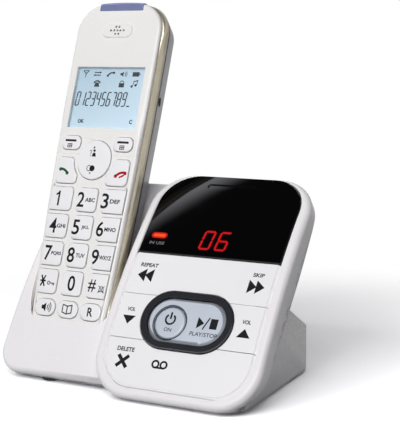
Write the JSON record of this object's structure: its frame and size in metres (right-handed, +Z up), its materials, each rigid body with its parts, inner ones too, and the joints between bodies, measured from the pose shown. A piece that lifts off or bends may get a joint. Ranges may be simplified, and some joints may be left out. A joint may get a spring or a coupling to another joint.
{
  "type": "telephone answering machine",
  "caption": "Desk answering machine with a sloping curved key panel, a dark display window and a cradle, and the cordless handset that stands in it.",
  "frame": {"origin": "bottom centre of the bounding box, on the surface that the rubber feet stand on", "axes": "+X to the right of someone who uses it, -Y towards them, +Z up; the cradle and the handset are on the left"},
  "size_m": [0.1332, 0.091, 0.1685],
  "materials": {
    "white_gloss": "glossy white",
    "white_key": "satin white",
    "grey_shell": "light grey, semi-gloss",
    "champagne_band": "champagne metallic",
    "black_window": "smoked, high gloss",
    "dark_chrome": "dark plated",
    "silver_key": "silver-blue satin",
    "lens_clear": "clear",
    "lamp_lens": "translucent lavender",
    "lcd_blue": "backlit light blue",
    "led_red": "red display",
    "pipe_red": "red light pipe",
    "black_rubber": "matt",
    "grey_rubber": "silicone",
    "board_green": "solder resist",
    "black_plastic": "matt",
    "contact_metal": "plated",
    "steel": "plain",
    "cell_wrap": "sleeve"
  },
  "bodies": {
    "base": {"base_front_shell": "white_gloss", "base_rear_shell": "white_gloss", "display_window": "black_window", "led_display_module": "led_red", "in_use_light_pipe": "pipe_red", "play_bezel_ring": "dark_chrome", "base_key_mat": "grey_rubber", "base_key_pcb": "board_green", "base_main_pcb": "board_green", "base_speaker": "black_plastic", "line_jack": "black_plastic", "power_jack": "black_plastic", "base_charge_contacts": "contact_metal", "base_screws": "steel", "rubber_feet": "black_rubber"},
    "handset": {"handset_front_shell": "white_gloss", "handset_side_band": "champagne_band", "handset_gasket": "black_rubber", "handset_rear_shell": "grey_shell", "ring_lamp_lens": "lamp_lens", "display_lens": "lens_clear", "lcd_panel": "lcd_blue", "handset_key_mat": "grey_rubber", "handset_pcb": "board_green", "earpiece_speaker": "black_plastic", "handset_loudspeaker": "black_plastic", "handset_microphone": "black_plastic", "battery_cells": "cell_wrap", "battery_contacts": "contact_metal", "handset_charge_contacts": "contact_metal", "headset_socket": "black_plastic", "handset_screws": "steel"},
    "battery_door": {"battery_door": "grey_shell"},
    "repeat_skip_key": {"repeat_skip_key": "white_key"},
    "delete_key": {"delete_key": "white_key"},
    "volume_down_key": {"volume_down_key": "white_key"},
    "volume_up_key": {"volume_up_key": "white_key"},
    "play_stop_key": {"play_stop_key": "silver_key"},
    "answer_on_key": {"answer_on_key": "silver_key"},
    "navigation_rocker": {"navigation_rocker": "white_key"},
    "left_softkey": {"left_softkey": "white_key"},
    "right_softkey": {"right_softkey": "white_key"},
    "talk_key": {"talk_key": "white_key"},
    "end_key": {"end_key": "white_key"},
    "key_1": {"key_1": "white_key"},
    "key_2": {"key_2": "white_key"},
    "key_3": {"key_3": "white_key"},
    "key_4": {"key_4": "white_key"},
    "key_5": {"key_5": "white_key"},
    "key_6": {"key_6": "white_key"},
    "key_7": {"key_7": "white_key"},
    "key_8": {"key_8": "white_key"},
    "key_9": {"key_9": "white_key"},
    "key_star": {"key_star": "white_key"},
    "key_0": {"key_0": "white_key"},
    "key_hash": {"key_hash": "white_key"},
    "loudspeaker_key": {"loudspeaker_key": "white_key"},
    "phonebook_key": {"phonebook_key": "white_key"},
    "recall_key": {"recall_key": "white_key"}
  },
  "joints": [
    {"name": "handset_lift", "type": "slide", "parent": "base", "child": "handset", "axis": [0, 0.3387, 0.9409], "range_m": [0, 0.12]},
    {"name": "battery_door_slide", "type": "slide", "parent": "handset", "child": "battery_door", "axis": [0, -0.3387, -0.9409], "range_m": [0, 0.006]},
    {"name": "repeat_skip_rock", "type": "hinge", "parent": "base", "child": "repeat_skip_key", "pos_m": [0.0271, -0.01342, 0.04847], "axis": [0, 0.6205, 0.7842], "range_deg": [-1.5, 1.5], "stiffness_Nm_per_rad": 0.5},
    {"name": "delete_press", "type": "hinge", "parent": "base", "child": "delete_key", "pos_m": [0.0579, -0.03657, 0.01486], "axis": [0, -0.5116, -0.8592], "range_deg": [0, 0.8], "stiffness_Nm_per_rad": 0.5, "springref_deg": -1.15},
    {"name": "volume_down_press", "type": "slide", "parent": "base", "child": "volume_down_key", "axis": [0, 0.8232, -0.5677], "range_m": [0, 0.0007], "stiffness_N_per_m": 300, "springref_m": -0.0007},
    {"name": "volume_up_press", "type": "slide", "parent": "base", "child": "volume_up_key", "axis": [0, 0.8232, -0.5677], "range_m": [0, 0.0007], "stiffness_N_per_m": 300, "springref_m": -0.0007},
    {"name": "play_stop_press", "type": "slide", "parent": "base", "child": "play_stop_key", "axis": [0, 0.8232, -0.5677], "range_m": [0, 0.0007], "stiffness_N_per_m": 300, "springref_m": -0.0007},
    {"name": "answer_on_press", "type": "slide", "parent": "base", "child": "answer_on_key", "axis": [0, 0.8232, -0.5677], "range_m": [0, 0.0007], "stiffness_N_per_m": 300, "springref_m": -0.0007},
    {"name": "navigation_rock", "type": "hinge", "parent": "handset", "child": "navigation_rocker", "pos_m": [-0.0369, 0.00351, 0.09601], "axis": [1, 0, 0], "range_deg": [-2.5, 2.5], "stiffness_Nm_per_rad": 0.1},
    {"name": "left_softkey_press", "type": "slide", "parent": "handset", "child": "left_softkey", "axis": [0, 0.9409, -0.3387], "range_m": [0, 0.0005], "stiffness_N_per_m": 300, "springref_m": -0.0005},
    {"name": "right_softkey_press", "type": "slide", "parent": "handset", "child": "right_softkey", "axis": [0, 0.9409, -0.3387], "range_m": [0, 0.0005], "stiffness_N_per_m": 300, "springref_m": -0.0005},
    {"name": "talk_key_press", "type": "slide", "parent": "handset", "child": "talk_key", "axis": [0, 0.9409, -0.3387], "range_m": [0, 0.0005], "stiffness_N_per_m": 300, "springref_m": -0.0005},
    {"name": "end_key_press", "type": "slide", "parent": "handset", "child": "end_key", "axis": [0, 0.9409, -0.3387], "range_m": [0, 0.0005], "stiffness_N_per_m": 300, "springref_m": -0.0005},
    {"name": "key_1_press", "type": "slide", "parent": "handset", "child": "key_1", "axis": [0, 0.9409, -0.3387], "range_m": [0, 0.0005], "stiffness_N_per_m": 300, "springref_m": -0.0005},
    {"name": "key_2_press", "type": "slide", "parent": "handset", "child": "key_2", "axis": [0, 0.9409, -0.3387], "range_m": [0, 0.0005], "stiffness_N_per_m": 300, "springref_m": -0.0005},
    {"name": "key_3_press", "type": "slide", "parent": "handset", "child": "key_3", "axis": [0, 0.9409, -0.3387], "range_m": [0, 0.0005], "stiffness_N_per_m": 300, "springref_m": -0.0005},
    {"name": "key_4_press", "type": "slide", "parent": "handset", "child": "key_4", "axis": [0, 0.9409, -0.3387], "range_m": [0, 0.0005], "stiffness_N_per_m": 300, "springref_m": -0.0005},
    {"name": "key_5_press", "type": "slide", "parent": "handset", "child": "key_5", "axis": [0, 0.9409, -0.3387], "range_m": [0, 0.0005], "stiffness_N_per_m": 300, "springref_m": -0.0005},
    {"name": "key_6_press", "type": "slide", "parent": "handset", "child": "key_6", "axis": [0, 0.9409, -0.3387], "range_m": [0, 0.0005], "stiffness_N_per_m": 300, "springref_m": -0.0005},
    {"name": "key_7_press", "type": "slide", "parent": "handset", "child": "key_7", "axis": [0, 0.9409, -0.3387], "range_m": [0, 0.0005], "stiffness_N_per_m": 300, "springref_m": -0.0005},
    {"name": "key_8_press", "type": "slide", "parent": "handset", "child": "key_8", "axis": [0, 0.9409, -0.3387], "range_m": [0, 0.0005], "stiffness_N_per_m": 300, "springref_m": -0.0005},
    {"name": "key_9_press", "type": "slide", "parent": "handset", "child": "key_9", "axis": [0, 0.9409, -0.3387], "range_m": [0, 0.0005], "stiffness_N_per_m": 300, "springref_m": -0.0005},
    {"name": "key_star_press", "type": "slide", "parent": "handset", "child": "key_star", "axis": [0, 0.9409, -0.3387], "range_m": [0, 0.0005], "stiffness_N_per_m": 300, "springref_m": -0.0005},
    {"name": "key_0_press", "type": "slide", "parent": "handset", "child": "key_0", "axis": [0, 0.9409, -0.3387], "range_m": [0, 0.0005], "stiffness_N_per_m": 300, "springref_m": -0.0005},
    {"name": "key_hash_press", "type": "slide", "parent": "handset", "child": "key_hash", "axis": [0, 0.9409, -0.3387], "range_m": [0, 0.0005], "stiffness_N_per_m": 300, "springref_m": -0.0005},
    {"name": "loudspeaker_key_press", "type": "slide", "parent": "handset", "child": "loudspeaker_key", "axis": [0, 0.9409, -0.3387], "range_m": [0, 0.0005], "stiffness_N_per_m": 300, "springref_m": -0.0005},
    {"name": "phonebook_key_press", "type": "slide", "parent": "handset", "child": "phonebook_key", "axis": [0, 0.9409, -0.3387], "range_m": [0, 0.0005], "stiffness_N_per_m": 300, "springref_m": -0.0005},
    {"name": "recall_key_press", "type": "slide", "parent": "handset", "child": "recall_key", "axis": [0, 0.9409, -0.3387], "range_m": [0, 0.0005], "stiffness_N_per_m": 300, "springref_m": -0.0005}
  ]
}
